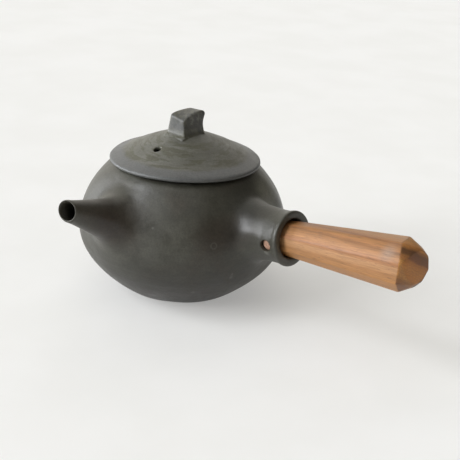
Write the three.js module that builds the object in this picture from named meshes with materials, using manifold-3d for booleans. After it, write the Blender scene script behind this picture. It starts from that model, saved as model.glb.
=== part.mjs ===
// A side-handled teapot in dark stoneware, with a carved wooden handle.
// Sizes are in millimetres and +Z is up. The origin is the middle of the flat foot.
// The handle points along +X and the spout along -Y.

import * as THREE from 'three';
import { ConvexGeometry } from 'three/addons/geometries/ConvexGeometry.js';
import { mergeVertices } from 'three/addons/utils/BufferGeometryUtils.js';
import Module from 'manifold-3d';

const wasm = await Module();
wasm.setup();

// Clearance between two pieces that touch or are luted together
const GAP = 0.3;

// Pot: a flattened sphere made of two bends that meet at the belly.
// A fullness of 1 would carry a bend straight up or down before it turns in.
const BELLY_RADIUS = 52.5;
const BELLY_HEIGHT = 32.5;
const FOOT_RADIUS = 28.5;
const FLANK_FULLNESS = 0.5;
const SHOULDER_FULLNESS = 0.47;
const MOUTH_RADIUS = 34.8;
const MOUTH_HEIGHT = 66.2;
const POT_WALL = 3;
const POT_FLOOR = 4;
const RIM_WALL = 3.4;
const RIM_ROUND = 1.1;
const NECK_DEPTH = 3.5;

// Spout: its axis rises from the middle of the pot, and distances run along it
const SPOUT_TURN = THREE.MathUtils.degToRad(-90);
const SPOUT_RISE = THREE.MathUtils.degToRad(23.3);
const SPOUT_BASE_HEIGHT = 25.8;
const SPOUT_REACH = 81.3;
const SPOUT_TIP_RADIUS = 5.3;
const SPOUT_NECK_LENGTH = 13;
const SPOUT_NECK_RADIUS = 7.4;
const SPOUT_FLARE_RADIUS = 17;
const SPOUT_ROOT_DEPTH = 9;
const SPOUT_BORE_DEPTH = 2;
const SPOUT_TIP_WALL = 1.2;
const SPOUT_HOLE_RADIUS = 9.5;

// Strainer: a pierced dome that bulges into the pot over the spout's hole.
// The seat is where the dome's edge meets the wall, along the spout's axis.
const STRAINER_SEAT = 48.4;
const STRAINER_BASE_RADIUS = 13.5;
const STRAINER_BULGE = 7;
const STRAINER_WALL = 1.8;
const STRAINER_HOLE_RADIUS = 0.95;
const STRAINER_PITCH = 3.7;
const STRAINER_RINGS = 3;
const STRAINER_RING_GROWTH = 6;

// Lid: a shallow cone with a thin rim, and a collar that drops into the mouth
const LID_RADIUS = 37.4;
const LID_RIM = 2;
const LID_RISE = 13.4;
const LID_CROWN = 1.6;
const LID_WALL = 3;
const COLLAR_CLEARANCE = 0.5;
const COLLAR_WALL = 3;
const COLLAR_DEPTH = 6.4;
const STEAM_HOLE_RADIUS = 1.8;
const STEAM_HOLE_OFFSET = 19.5;

// Knob: a block that is lower at the end over the spout, with an arched top.
// Its heights are above the peak of the lid, and its foot starts below that peak.
const KNOB_FRONT = 6.6;
const KNOB_BACK = 8;
const KNOB_FOOT_WIDTH = 10.4;
const KNOB_FOOT_DEPTH = 4;
const KNOB_TOP_WIDTH = 7.8;
const KNOB_LEAN = 0.6;
const KNOB_FRONT_HEIGHT = 7.9;
const KNOB_BACK_HEIGHT = 8.9;
const KNOB_ARCH = 1;
const KNOB_WAIST = 3.4;
const KNOB_ROUND = 1.5;

// Handle socket: distances run along the handle's axis, from the middle of the pot
const HANDLE_BASE_HEIGHT = 36.8;
const HANDLE_RISE = THREE.MathUtils.degToRad(7.9);
const SOCKET_REACH = 71.7;
const SOCKET_LIP_RADIUS = 13.1;
const SOCKET_WAIST_RADIUS = 12.9;
const SOCKET_FLARE_RADIUS = 17.5;
const SOCKET_ROOT_DEPTH = 14;
const SOCKET_BORE_RADIUS = 9.1;
const SOCKET_LIP_ROUND = 1.2;

// Wooden handle: eight flats, widening from the tenon to the bevelled end.
// The tenon runs inwards from the socket's lip, and the free length outwards.
// The bevels are carved by eye: their lengths go round from below, by the far side.
const BEVEL_LENGTHS = [4.5, 2, 4.8, 6.8, 4.8, 1.8, 3.5, 6.8];
const HANDLE_SIDES = BEVEL_LENGTHS.length;
const TENON_LENGTH = 17.7;
const TENON_START = SOCKET_REACH - TENON_LENGTH;
const TENON_CLEARANCE = 1.2;
const TENON_CHAMFER = 0.6;
const HANDLE_LENGTH = 66.3;
const HANDLE_END = SOCKET_REACH + HANDLE_LENGTH;
const HANDLE_WIDE_FLAT = 11.6;
const HANDLE_END_FLAT = 7.1;
const HANDLE_END_SLANT = 0.9;

// Dowel that locks the tenon, driven in from the side of the socket behind its lip
const PEG_RADIUS = 3.1;
const PEG_SETBACK = 5.9;
const PEG_REACH = SOCKET_REACH - PEG_SETBACK;
const PEG_SINK = 3;
const PEG_LENGTH = 13.4;
const PEG_CHAMFER = 0.4;

// Sides of the round forms, and steps of the bends
const POT_SIDES = 56;
const SPOUT_SIDES = 32;
const SOCKET_SIDES = 36;
const PEG_SIDES = 20;
const STRAINER_SIDES = 24;
const STRAINER_HOLE_SIDES = 6;
const OUTER_STEPS = 9;
const INNER_STEPS = 6;
const ROUND_STEPS = 2;

// Corners closer than this are one corner
const SAME_POINT = 1e-4;

const stoneware = new THREE.MeshStandardMaterial({ color: 0x403f3a, roughness: 0.62, metalness: 0 });
const paleStoneware = new THREE.MeshStandardMaterial({ color: 0x5d5c57, roughness: 0.58, metalness: 0 });
const walnut = new THREE.MeshStandardMaterial({ color: 0xb98559, roughness: 0.55, metalness: 0 });
const dowelWood = new THREE.MeshStandardMaterial({ color: 0x9c7b68, roughness: 0.7, metalness: 0 });

// Points of a bend between two places, drawn towards a control point
function bend(from, control, to, steps) {
  const corners = [from, control, to].map(([x, y]) => new THREE.Vector2(x, y));
  const curve = new THREE.QuadraticBezierCurve(...corners);
  return curve.getPoints(steps).map((point) => [point.x, point.y]);
}

// An outline as vectors, without points that fall on the one before
function outline(points) {
  const corners = points.map(([x, y]) => new THREE.Vector2(x, y));
  return corners.filter((corner, i) => i === 0 || corner.distanceTo(corners[i - 1]) > SAME_POINT);
}

// A turned form about +Z, from an outline of radius and height
function turned(points, sides) {
  return new THREE.LatheGeometry(outline(points), sides).rotateX(Math.PI / 2);
}

// A closed mesh as a solid that can be joined and cut
function toSolid(geometry) {
  const bare = geometry.clone();
  bare.deleteAttribute('normal');
  bare.deleteAttribute('uv');
  const merged = mergeVertices(bare, SAME_POINT);
  const corners = merged.index.array;
  const faces = [];
  for (let i = 0; i < corners.length; i += 3) {
    const [a, b, c] = corners.slice(i, i + 3);
    if (a !== b && b !== c && c !== a) faces.push(a, b, c);
  }
  return new wasm.Manifold(new wasm.Mesh({
    numProp: 3,
    vertProperties: new Float32Array(merged.attributes.position.array),
    triVerts: new Uint32Array(faces),
  }));
}

function toMesh(name, solid, material) {
  const { vertProperties, triVerts } = solid.getMesh();
  const geometry = new THREE.BufferGeometry();
  geometry.setAttribute('position', new THREE.BufferAttribute(vertProperties, 3));
  geometry.setIndex(new THREE.BufferAttribute(triVerts, 1));
  geometry.computeVertexNormals();
  const mesh = new THREE.Mesh(geometry, material);
  mesh.name = name;
  return mesh;
}

// An axis out of the pot: its own +Z runs outwards, and distances are measured along it
function outwardAxis(height, rise, turn) {
  const axis = new THREE.Group();
  axis.position.z = height;
  axis.rotation.order = 'ZYX';
  axis.rotation.y = Math.PI / 2 - rise;
  axis.rotation.z = turn;
  axis.updateMatrixWorld();
  return axis;
}

// A form of the pot as a solid, seen from such an axis
function seenFrom(axis, geometry) {
  return toSolid(geometry.applyMatrix4(axis.matrixWorld.clone().invert()));
}

// A round bar along +Z between two distances
function bar(radius, from, to, sides) {
  return turned([[0, from], [radius, from], [radius, to], [0, to]], sides);
}

// The two bends of the pot's side, through its foot, belly and mouth
function sideBends(foot, belly, mouth, steps) {
  const low = THREE.MathUtils.lerp(belly[1], foot[1], FLANK_FULLNESS);
  const high = THREE.MathUtils.lerp(belly[1], mouth[1], SHOULDER_FULLNESS);
  return [
    ...bend(foot, [belly[0], low], belly, steps),
    ...bend(belly, [belly[0], high], mouth, steps),
  ];
}

// Outside of the pot from the foot up, with every surface moved out by a margin
function potSkin(margin) {
  const foot = [FOOT_RADIUS + margin, -margin];
  const belly = [BELLY_RADIUS + margin, BELLY_HEIGHT];
  const mouth = [MOUTH_RADIUS + margin, MOUTH_HEIGHT - RIM_ROUND];
  return [[0, -margin], ...sideBends(foot, belly, mouth, OUTER_STEPS)];
}

// Inside of the pot from the floor up to the neck, drawn in by a margin
function potHollow(margin) {
  const floor = [FOOT_RADIUS - POT_WALL - margin, POT_FLOOR + margin];
  const belly = [BELLY_RADIUS - POT_WALL - margin, BELLY_HEIGHT];
  const neck = [MOUTH_RADIUS - RIM_WALL - margin, MOUTH_HEIGHT - NECK_DEPTH];
  return [[0, floor[1]], ...sideBends(floor, belly, neck, INNER_STEPS)];
}

// The full form of the pot that spout and socket are fitted to, as seen from their axis
function potFrom(axis) {
  return seenFrom(axis, turned([...potSkin(GAP), [0, MOUTH_HEIGHT]], POT_SIDES));
}

function makePotBody(spoutAxis) {
  const inside = MOUTH_RADIUS - RIM_WALL;
  const low = MOUTH_HEIGHT - RIM_ROUND;
  const outerTop = [MOUTH_RADIUS - RIM_ROUND, MOUTH_HEIGHT];
  const innerTop = [inside + RIM_ROUND, MOUTH_HEIGHT];
  const wall = toSolid(turned([
    ...potSkin(0),
    ...bend([MOUTH_RADIUS, low], [MOUTH_RADIUS, MOUTH_HEIGHT], outerTop, ROUND_STEPS),
    ...bend(innerTop, [inside, MOUTH_HEIGHT], [inside, low], ROUND_STEPS),
    ...potHollow(0).reverse(),
  ], POT_SIDES));
  const drill = bar(SPOUT_HOLE_RADIUS, BELLY_RADIUS / 2, SPOUT_REACH, SPOUT_SIDES);
  const hole = toSolid(drill.applyMatrix4(spoutAxis.matrixWorld));
  return toMesh('pot_body', wall.subtract(hole), stoneware);
}

// A tapered tube that flares into the shoulder, with a bore that narrows to the tip
function makeSpout(spoutAxis) {
  const neck = SPOUT_REACH - SPOUT_NECK_LENGTH;
  const root = BELLY_RADIUS - SPOUT_ROOT_DEPTH;
  const edge = SPOUT_TIP_WALL / 2;
  const tube = toSolid(turned([
    [SPOUT_HOLE_RADIUS, root],
    [SPOUT_FLARE_RADIUS, root],
    ...bend(
      [SPOUT_FLARE_RADIUS, BELLY_RADIUS - SPOUT_BORE_DEPTH],
      [SPOUT_HOLE_RADIUS, BELLY_RADIUS + SPOUT_BORE_DEPTH],
      [SPOUT_NECK_RADIUS, neck],
      OUTER_STEPS,
    ),
    [SPOUT_TIP_RADIUS, SPOUT_REACH - edge],
    [SPOUT_TIP_RADIUS - edge, SPOUT_REACH],
    [SPOUT_TIP_RADIUS - SPOUT_TIP_WALL, SPOUT_REACH - edge],
    ...bend(
      [SPOUT_NECK_RADIUS - SPOUT_TIP_WALL, neck],
      [SPOUT_NECK_RADIUS, BELLY_RADIUS + SPOUT_NECK_RADIUS],
      [SPOUT_HOLE_RADIUS, BELLY_RADIUS - SPOUT_BORE_DEPTH],
      INNER_STEPS,
    ),
    [SPOUT_HOLE_RADIUS, root],
  ], SPOUT_SIDES));
  return toMesh('spout', tube.subtract(potFrom(spoutAxis)), stoneware);
}

// Holes of the strainer in rings, each hole square to the dome, which is centred on zero
function strainerDrills(dome) {
  let drills = null;
  for (let ring = 0; ring <= STRAINER_RINGS; ring += 1) {
    const lean = ring * STRAINER_PITCH / dome;
    const count = Math.max(1, ring * STRAINER_RING_GROWTH);
    for (let i = 0; i < count; i += 1) {
      const from = -dome - STRAINER_WALL;
      const drill = bar(STRAINER_HOLE_RADIUS, from, from + STRAINER_WALL * 3, STRAINER_HOLE_SIDES);
      const solid = toSolid(drill.rotateX(lean).rotateZ(i * 2 * Math.PI / count));
      drills = drills === null ? solid : drills.add(solid);
    }
  }
  return drills;
}

function makeStrainer(spoutAxis) {
  const dome = (STRAINER_BASE_RADIUS ** 2 + STRAINER_BULGE ** 2) / (2 * STRAINER_BULGE);
  const middle = STRAINER_SEAT - STRAINER_BULGE + dome;
  const ball = (radius) => toSolid(
    new THREE.SphereGeometry(radius, STRAINER_SIDES, STRAINER_SIDES).rotateX(Math.PI / 2),
  );
  const shell = ball(dome).subtract(ball(dome - STRAINER_WALL)).subtract(strainerDrills(dome));
  const hollow = turned([...potHollow(GAP), [0, MOUTH_HEIGHT - NECK_DEPTH]], POT_SIDES);
  const kept = shell.translate(0, 0, middle).intersect(seenFrom(spoutAxis, hollow));
  return toMesh('tea_strainer', kept, stoneware);
}

// Height of the lid's top above the underside of its rim
function lidHeight(radius) {
  const inwards = 1 - radius / (LID_RADIUS - LID_RIM / 2);
  return LID_RIM + LID_RISE * inwards + 2 * LID_CROWN * inwards * (1 - inwards);
}

// Outline of that top from a radius to the middle, moved up by a margin
function lidTop(radius, margin, steps) {
  return Array.from({ length: steps + 1 }, (_, i) => {
    const at = radius * (1 - i / steps);
    return [at, lidHeight(at) + margin];
  });
}

// The lid stands on its own frame, whose zero is the underside of the rim
function makeLid() {
  const collar = MOUTH_RADIUS - RIM_WALL - COLLAR_CLEARANCE;
  const collarInside = collar - COLLAR_WALL;
  const edge = LID_RIM / 2;
  const top = lidTop(LID_RADIUS - edge, 0, OUTER_STEPS);
  const plate = toSolid(turned([
    ...lidTop(collarInside, -LID_WALL, INNER_STEPS).reverse(),
    [collarInside, edge - COLLAR_DEPTH],
    [collarInside + edge, -COLLAR_DEPTH],
    [collar - edge, -COLLAR_DEPTH],
    [collar, edge - COLLAR_DEPTH],
    [collar, 0],
    ...bend([LID_RADIUS - edge, 0], [LID_RADIUS, 0], [LID_RADIUS, edge], ROUND_STEPS),
    ...bend([LID_RADIUS, edge], [LID_RADIUS, LID_RIM], top[0], ROUND_STEPS),
    ...top,
  ], POT_SIDES));
  const drill = bar(STEAM_HOLE_RADIUS, 0, LID_RISE * 2, PEG_SIDES).translate(0, -STEAM_HOLE_OFFSET, 0);
  return toMesh('lid', plate.subtract(toSolid(drill)), paleStoneware);
}

// The knob is the form that a side outline and a front outline have in common
function makeKnob() {
  const peak = lidHeight(0);
  const foot = peak - KNOB_FOOT_DEPTH;
  const front = peak + KNOB_FRONT_HEIGHT;
  const back = peak + KNOB_BACK_HEIGHT;
  const waist = [KNOB_BACK - KNOB_WAIST, (peak + back) / 2];
  const backFoot = [KNOB_BACK, back - KNOB_ROUND];
  const backTop = [KNOB_BACK - KNOB_ROUND, back];
  const frontTop = [KNOB_ROUND - KNOB_FRONT, front];
  const side = new THREE.Shape(outline([
    [-KNOB_FRONT, foot],
    [KNOB_BACK, foot],
    ...bend([KNOB_BACK, peak], waist, backFoot, INNER_STEPS),
    ...bend(backFoot, [KNOB_BACK, back], backTop, ROUND_STEPS),
    ...bend(backTop, [KNOB_BACK / 3, back + KNOB_ARCH], frontTop, OUTER_STEPS),
    ...bend(frontTop, [-KNOB_FRONT, front], [-KNOB_FRONT, front - KNOB_ROUND], ROUND_STEPS),
  ]));
  const facing = new THREE.Shape(outline([
    [-KNOB_FOOT_WIDTH / 2, foot],
    [KNOB_FOOT_WIDTH / 2, foot],
    [KNOB_LEAN + KNOB_TOP_WIDTH / 2, back + KNOB_ARCH],
    [KNOB_LEAN - KNOB_TOP_WIDTH / 2, back + KNOB_ARCH],
  ]));
  const wide = new THREE.ExtrudeGeometry(side, { depth: KNOB_FOOT_WIDTH * 2, bevelEnabled: false });
  wide.translate(0, 0, -KNOB_FOOT_WIDTH).rotateX(Math.PI / 2).rotateZ(Math.PI / 2);
  const long = new THREE.ExtrudeGeometry(facing, { depth: KNOB_BACK * 4, bevelEnabled: false });
  long.translate(0, 0, -KNOB_BACK * 2).rotateX(Math.PI / 2);
  const rim = LID_RADIUS - LID_RIM / 2;
  const dome = toSolid(turned([[0, 0], [rim, 0], ...lidTop(rim, GAP, OUTER_STEPS)], POT_SIDES));
  return toMesh('lid_knob', toSolid(wide).intersect(toSolid(long)).subtract(dome), paleStoneware);
}

// A tube with a rounded lip that flares into the side of the pot
function makeSocket(handleAxis) {
  const root = BELLY_RADIUS - SOCKET_ROOT_DEPTH;
  const lip = SOCKET_REACH - SOCKET_LIP_ROUND;
  const waist = [SOCKET_WAIST_RADIUS, (BELLY_RADIUS + SOCKET_REACH) / 2];
  const outerLip = [SOCKET_LIP_RADIUS - SOCKET_LIP_ROUND, SOCKET_REACH];
  const innerLip = [SOCKET_BORE_RADIUS + SOCKET_LIP_ROUND, SOCKET_REACH];
  const tube = toSolid(turned([
    [SOCKET_BORE_RADIUS, root],
    ...bend([SOCKET_FLARE_RADIUS, root], [SOCKET_WAIST_RADIUS, BELLY_RADIUS], waist, OUTER_STEPS),
    ...bend([SOCKET_LIP_RADIUS, lip], [SOCKET_LIP_RADIUS, SOCKET_REACH], outerLip, ROUND_STEPS),
    ...bend(innerLip, [SOCKET_BORE_RADIUS, SOCKET_REACH], [SOCKET_BORE_RADIUS, lip], ROUND_STEPS),
    [SOCKET_BORE_RADIUS, root],
  ], SOCKET_SIDES));
  const hole = toSolid(pegForm(GAP, SOCKET_FLARE_RADIUS));
  return toMesh('handle_socket', tube.subtract(potFrom(handleAxis)).subtract(hole), stoneware);
}

// The dowel's form across the handle, widened by a margin, out to a distance from the axis
function pegForm(margin, outward) {
  const radius = PEG_RADIUS + margin;
  const inner = PEG_LENGTH - (SOCKET_WAIST_RADIUS - PEG_SINK) + margin;
  const form = turned([
    [0, -inner],
    [radius - PEG_CHAMFER, -inner],
    [radius, PEG_CHAMFER - inner],
    [radius, outward - PEG_CHAMFER],
    [radius - PEG_CHAMFER, outward],
    [0, outward],
  ], PEG_SIDES);
  return form.rotateX(Math.PI / 2).translate(0, 0, PEG_REACH);
}

function makePeg() {
  return toMesh('handle_peg', toSolid(pegForm(0, SOCKET_WAIST_RADIUS - PEG_SINK)), dowelWood);
}

// Half the width across the flats at a distance along the handle
function flatAt(distance) {
  const atLip = SOCKET_BORE_RADIUS - TENON_CLEARANCE;
  const slope = (HANDLE_WIDE_FLAT - atLip) / HANDLE_LENGTH;
  return atLip + slope * (distance - SOCKET_REACH);
}

// A corner of the eight-sided handle: the angle is zero downwards
function handleCorner(angle, flat, distance) {
  const radius = flat / Math.cos(Math.PI / HANDLE_SIDES);
  return new THREE.Vector3(radius * Math.cos(angle), radius * Math.sin(angle), distance);
}

// The stick is carved flat by flat, so it is the hull of its rings of corners
function makeHandle() {
  const corners = [];
  const chamferEnd = TENON_START + TENON_CHAMFER;
  BEVEL_LENGTHS.forEach((length, i) => {
    const angle = (i + 0.5) * 2 * Math.PI / HANDLE_SIDES;
    const shoulder = HANDLE_END - length;
    const face = HANDLE_END + HANDLE_END_SLANT * Math.sin(angle);
    corners.push(
      handleCorner(angle, flatAt(TENON_START) - TENON_CHAMFER, TENON_START),
      handleCorner(angle, flatAt(chamferEnd), chamferEnd),
      handleCorner(angle, flatAt(shoulder), shoulder),
      handleCorner(angle, HANDLE_END_FLAT, face),
    );
  });
  const hole = toSolid(pegForm(GAP, SOCKET_FLARE_RADIUS));
  return toMesh('wood_handle', toSolid(new ConvexGeometry(corners)).subtract(hole), walnut);
}

const spoutAxis = outwardAxis(SPOUT_BASE_HEIGHT, SPOUT_RISE, SPOUT_TURN);
spoutAxis.add(makeSpout(spoutAxis), makeStrainer(spoutAxis));

const handleAxis = outwardAxis(HANDLE_BASE_HEIGHT, HANDLE_RISE, 0);
handleAxis.add(makeSocket(handleAxis), makeHandle(), makePeg());

const lidSeat = new THREE.Group();
lidSeat.position.z = MOUTH_HEIGHT + GAP;
lidSeat.add(makeLid(), makeKnob());

const teapot = new THREE.Group();
teapot.add(makePotBody(spoutAxis), spoutAxis, handleAxis, lidSeat);

export default teapot;
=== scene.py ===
"""Looks of a side-handled teapot: a smooth clay skin, a lid with its knob, and a carved handle.

Shapes are made in millimetres and scaled to metres when their mesh is finished.
The foot's middle is the origin, the handle points along +X and the spout along -Y.
"""

import bisect
import math
from types import SimpleNamespace

import bmesh
import bpy
from mathutils import Matrix, Vector, noise


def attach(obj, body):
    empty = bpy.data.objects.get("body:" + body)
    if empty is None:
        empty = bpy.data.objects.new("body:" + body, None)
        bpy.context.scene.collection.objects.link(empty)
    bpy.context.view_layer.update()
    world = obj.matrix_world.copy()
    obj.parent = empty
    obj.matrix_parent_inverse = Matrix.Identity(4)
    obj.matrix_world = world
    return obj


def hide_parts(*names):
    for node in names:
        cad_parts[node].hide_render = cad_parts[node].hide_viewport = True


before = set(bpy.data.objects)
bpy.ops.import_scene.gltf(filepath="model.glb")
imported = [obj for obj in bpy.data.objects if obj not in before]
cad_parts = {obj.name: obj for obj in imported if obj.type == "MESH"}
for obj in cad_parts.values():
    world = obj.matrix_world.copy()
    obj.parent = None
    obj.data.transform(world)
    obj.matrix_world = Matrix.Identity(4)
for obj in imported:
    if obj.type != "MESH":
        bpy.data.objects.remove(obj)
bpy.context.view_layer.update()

MM = 0.001

# Camera: where the photograph was taken from, in degrees and millimetres
VIEW_AZIMUTH = 40.8
VIEW_ELEVATION = 23.23
VIEW_ROLL = 3.46
VIEW_DISTANCE = 500
VIEW_SIDE_SHIFT = 24.3
VIEW_AIM_HEIGHT = 29.3
VIEW_NEAREST = 10
LENS_MM = 76.48
SENSOR_MM = 36

# Light, as (name, azimuth, elevation, width in degrees, share of the plain level, colour). Wide
# low windows stand on the left, and the pale walls of the room send a little warm light back.
LAMPS = (
    ("low_window", -155, 8, 26, 0.94, (0.98, 1, 1.03)),
    ("front_window", -115, 19, 24, 0.62, (0.98, 1, 1.03)),
    ("high_window", -124, 43, 24, 0.33, (0.98, 1, 1.03)),
    ("ceiling", -75, 62, 60, 0.16, (1, 1, 1)),
    ("back_wall", 142, 30, 80, 0.44, (1.04, 1, 0.92)),
    ("right_wall", 10, 42, 90, 0.12, (1.08, 1, 0.84)),
)
ROOM_LEVEL = 0.02
ROOM_COLOUR = (1, 1, 1, 1)

# Floor: one pale sheet, wide enough to fill the picture from every side
FLOOR_RADIUS = 12000
FLOOR_SIDES = 96
FLOOR_LIFT = 0.32
FLOOR_GLOW = (1, 0.995, 0.98, 1)

# Pot: outside and inside are each two bends that meet at the belly
FOOT_RADIUS = 28.5
BELLY_RADIUS = 52.5
BELLY_HEIGHT = 32.5
SHOULDER_FULLNESS = 0.52
SHOULDER_TOP_RADIUS = 35.8
MOUTH_RADIUS = 34.8
MOUTH_HEIGHT = 66.2
RIM_ROUND = 1.1
RIM_WALL = 3.4
NECK_DEPTH = 3.5
POT_WALL = 3
POT_FLOOR = 4
SIDE_STEPS = 60
POT_DENTS = (0.5, 17)

# The cage that subdivision rounds: sectors round the pot, and heights of the rows of its sides.
# The other rows are (outwards, upwards) from the radius and height of the corner they shape.
POT_SECTORS = 36
OUTER_ROWS = (4.5, 11.5, 20, 29.6, 37.5, 45.4, 52.9, 59.3, 63.2)
INNER_ROWS = (58.2, 52.2, 45, 37.5, 29.6, 21, 13, 7.5)
FOOT_ROWS = ((-3, 0), (0.6, 0.3))
RIM_OUTER_ROWS = ((0.1, -1.1), (-0.9, -0.4), (-2, 0))
RIM_INNER_ROWS = ((0.4, 0), (0, -RIM_ROUND), (0, -NECK_DEPTH))
FLOOR_CORNER = 0.4
CAGE_LEVELS = 3
MERGE_GAP = 1e-4

# Spout and socket each grow out of a block of four rows by four sectors, and the rows near it
# are eased into place. The pot keeps its true side where it is clear of their roots.
BLOCK_LOW = 29
BLOCK_HIGH = 60
BLOCK_SECTORS = 4
EASED_FROM = 10
EASED_REACH = 2
EASED_ROUNDS = 4
CLEAR_START = 1.1
CLEAR_FADE = 0.5
CLEAR_OF_FOOT = 4
CLEAR_OF_MOUTH = 1

# Distances along an axis between which its surroundings meet a side, and how near is near enough
SIDE_SEARCH = (30, 70)
SIDE_SEARCH_GAP = 0.001

# Round rings are made wider by these shares, because subdivision draws them in. The pot's rows
# are set out by a width instead.
LID_SECTORS = 36
TUBE_SIDES = 16
HOLE_SIDES = 8
RING_SWELL, TUBE_SWELL, HOLE_SWELL = (
    6 / (4 + 2 * math.cos(math.tau / sides)) for sides in (LID_SECTORS, TUBE_SIDES, HOLE_SIDES)
)
POT_SWELL = 0.35

# Spout, as (radius, distance along its axis): outside from the root to the lip, then the bore.
# Its root is drawn down the pot by a drop, and bends softly into the neck.
SPOUT_BASE_HEIGHT = 25.8
SPOUT_RISE = 23.3
SPOUT_TURN = -90
SPOUT_ROOT_RADIUS = 17.5
SPOUT_ROOT_DROP = 4
SPOUT_NECK = (8.4, 65)
SPOUT_TAPER = 1.1
SPOUT_FLARE_STEPS = 4
SPOUT_OUTSIDE = ((7.15, 70), (6.05, 75), (5.4, 78.8), (5.35, 80.2))
SPOUT_LIP = ((5.1, 81), (4.55, 81.3))
SPOUT_BORE = ((3.95, 81), (3.65, 79.4), (4.4, 75), (6.3, 67), (8.1, 59), (9.2, 53))
SPOUT_HOLE_RADIUS = 10
MOUTH_START = 70
MOUTH_SHIFT = 0.6
MOUTH_SLANT = 0.2
MOUTH_TURN = 0.26

# Handle socket, in the same way
HANDLE_BASE_HEIGHT = 36.8
HANDLE_RISE = 7.9
HANDLE_TURN = 0
SOCKET_ROOT_RADIUS = 16.6
SOCKET_ROOT_DROP = 3
SOCKET_NECK = (13, 59.4)
SOCKET_TAPER = 1.02
SOCKET_FLARE_STEPS = 3
SOCKET_OUTSIDE = ((12.85, 61.4), (12.65, 64.6), (12.75, 67.9), (13.5, 70.3))
SOCKET_LIP = ((13.2, 71.6), (11.6, 71.9), (9.7, 71.7))
SOCKET_BORE = ((8.9, 70.8), (8.85, 68.4), (9, 64.8), (9.1, 61.2), (9.1, 57), (9.1, 54))

# Round hole in the socket's near side, facing a little down, with the dowel at its bottom.
# Outside and in the bore it takes the place of a block of three rings by three of their verts.
PEG_TILT = 6
PEG_REACH = 64.9
PEG_HOLE_RADIUS = 2.6
PEG_HOLE_EDGE = 0.55
PEG_HOLE_COLUMNS = (11, 12, 13)
PEG_HOLE_OUTER_ROWS = slice(0, 3)
PEG_HOLE_INNER_ROWS = slice(8, 11)
PEG_HOLE_OUTSIDE = 12.8
PEG_HOLE_STEPS = (12.3, 11.2)
PEG_HOLE_INSIDE = 9.05
PEG_RADIUS = 2.75
PEG_TOP = 11
PEG_LENGTH = 14
PEG_EDGE_ROWS = ((0, -1.2), (0, -0.3), (-0.9, -0.15))
PEG_EDGE_STEPS = 5
PEG_CROWN = 1
PEG_SECTORS = 32

# Wooden handle: half widths across its flats, distances along its axis, and the length of the
# bevel at the end of each of its eight corners
BEVEL_LENGTHS = (4.5, 2, 4.8, 6.8, 4.8, 1.8, 3.5, 6.8)
TENON_START = 54
LIP_FLAT = 7.9
LIP_REACH = 71.7
HANDLE_END = 138
HANDLE_WIDE_FLAT = 11.6
HANDLE_END_FLAT = 7.1
HANDLE_END_SLANT = 0.9
HANDLE_EDGE = 0.55
HANDLE_EDGE_STEPS = 3
FLAT_LIMIT = 3

# Lid. Its top is given as (radius, height above the seat) towards the camera. At the sides and
# the back its rim droops, between two radii on the top and two on the thin underside.
LID_SEAT = 66.5
LID_RADIUS = 37.4
LID_WALL = 3
LID_TOP = (
    (36.2, 3.15), (34, 3.9), (30.5, 4.85), (27, 5.95), (22.9, 7.75), (19.5, 9.3),
    (16.1, 10.65), (12.2, 12.1), (8, 13.5), (4, 14.85), (0, 15.6),
)
LID_UNDER_ROWS = slice(4, -1)
LID_EDGE_ROWS = ((-4, 0.3), (-1.4, 0.55), (-0.5, 0.75), (0, 1.3), (0.1, 2), (-0.4, 2.7))
LID_DROOP = 1.5
DROOP_TURN = 100
DROOP_TOP = (24, 36)
DROOP_UNDER = (34.9, 36.6)
DROOP_TOP_FROM = 1.2
LID_DENTS = (0.25, 9)
COLLAR_RADIUS = 30.9
COLLAR_WALL = 3
COLLAR_DEPTH = 6.4
COLLAR_FILLET = (2, 1.2)
COLLAR_INNER_ROWS = ((0, 1.2), (0.5, 0))
COLLAR_OUTER_ROWS = ((-0.5, 0), (0, 1.2))
COLLAR_SEAT_ROWS = ((0, -0.8), (0.5, 0))

# Steam hole, in a block of two rows by two sectors. A burr stands at one vert of its edge.
STEAM_HOLE_RADIUS = 1.65
STEAM_HOLE_OFFSET = 19.5
STEAM_HOLE_EDGE = 0.55
STEAM_HOLE_BLOCK = (LID_TOP[6][0], LID_TOP[4][0])
STEAM_HOLE_DEPTHS = (0.35, 1.4)
STEAM_BURR = 0.25
STEAM_BURR_VERT = 2

# Knob: a slab of clay. Pairs are for its foot and its top, or for the spout's end and the back.
# The heights of its top above the lid's peak are given on the far side and on the handle's.
KNOB_FRONT = (7.4, 6.6)
KNOB_BACK = (6.8, 8.9)
KNOB_WAIST = 0.9
KNOB_WIDTH = (12.2, 9.9)
KNOB_SHIFT = (0, -0.5)
KNOB_HEIGHTS = ((7.25, 5.4), (7.6, 9))
KNOB_ARCH = (1.3, 1.4)
KNOB_CORNER = 1
KNOB_ROUNDS = (1.1, 2.2)
KNOB_BEAD = ((0, 2.2), (0.4, 2.25), (0.75, 1.9), (0.98, 1), (1.15, 0.3), (1.6, 0))
KNOB_BEAD_SIDES = 0.35
KNOB_SINK = 0.3
KNOB_CORNER_STEPS = 5
KNOB_SIDE_STEPS = 6
KNOB_ROWS = 10
KNOB_EDGE_ROWS = 6
KNOB_TOP_ROWS = 8
KNOB_SOFTENING = (0.4, 2)
KNOB_DENTS = (0.35, 4)
THUMB_DENT = (5.2, 0.4, 86.6)
THUMB_DENT_DEPTH = 0.35
THUMB_DENT_RADIUS = 1.6

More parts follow.
